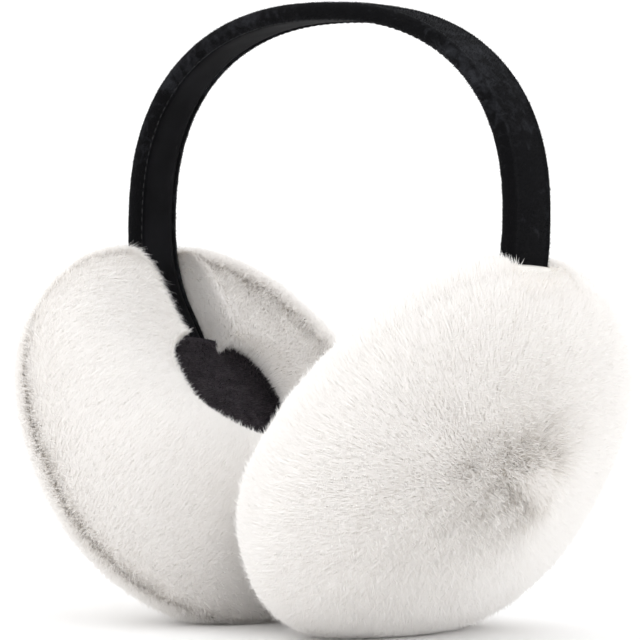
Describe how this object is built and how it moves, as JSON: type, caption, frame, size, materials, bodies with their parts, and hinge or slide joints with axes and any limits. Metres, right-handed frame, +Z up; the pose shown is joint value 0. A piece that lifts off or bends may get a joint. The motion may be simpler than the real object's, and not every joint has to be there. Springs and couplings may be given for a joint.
{
  "type": "fur earmuffs",
  "caption": "Earmuffs with a padded velvet headband arch that runs into two big round pads of dense white fur, each with a dark plush-lined hollow for the ear.",
  "frame": {"origin": "on the surface that the pads stand on, under the middle of the part's box", "axes": "+Z up towards the crown of the headband, +X from the left ear's pad to the right ear's pad, -Y to the wearer's front"},
  "size_m": [0.1778, 0.1414, 0.1826],
  "materials": {
    "velvet": "black velvet, matt, with a soft grey bloom where it turns",
    "strip_cloth": "smooth black cloth",
    "fur": "dense soft off-white fur",
    "plush": "short dark plush"
  },
  "bodies": {
    "root": {"headband_cover": "velvet", "headband_lining": "strip_cloth", "right_fur_pad": "fur", "left_fur_pad": "fur", "right_ear_lining": "plush", "left_ear_lining": "plush"}
  },
  "joints": []
}
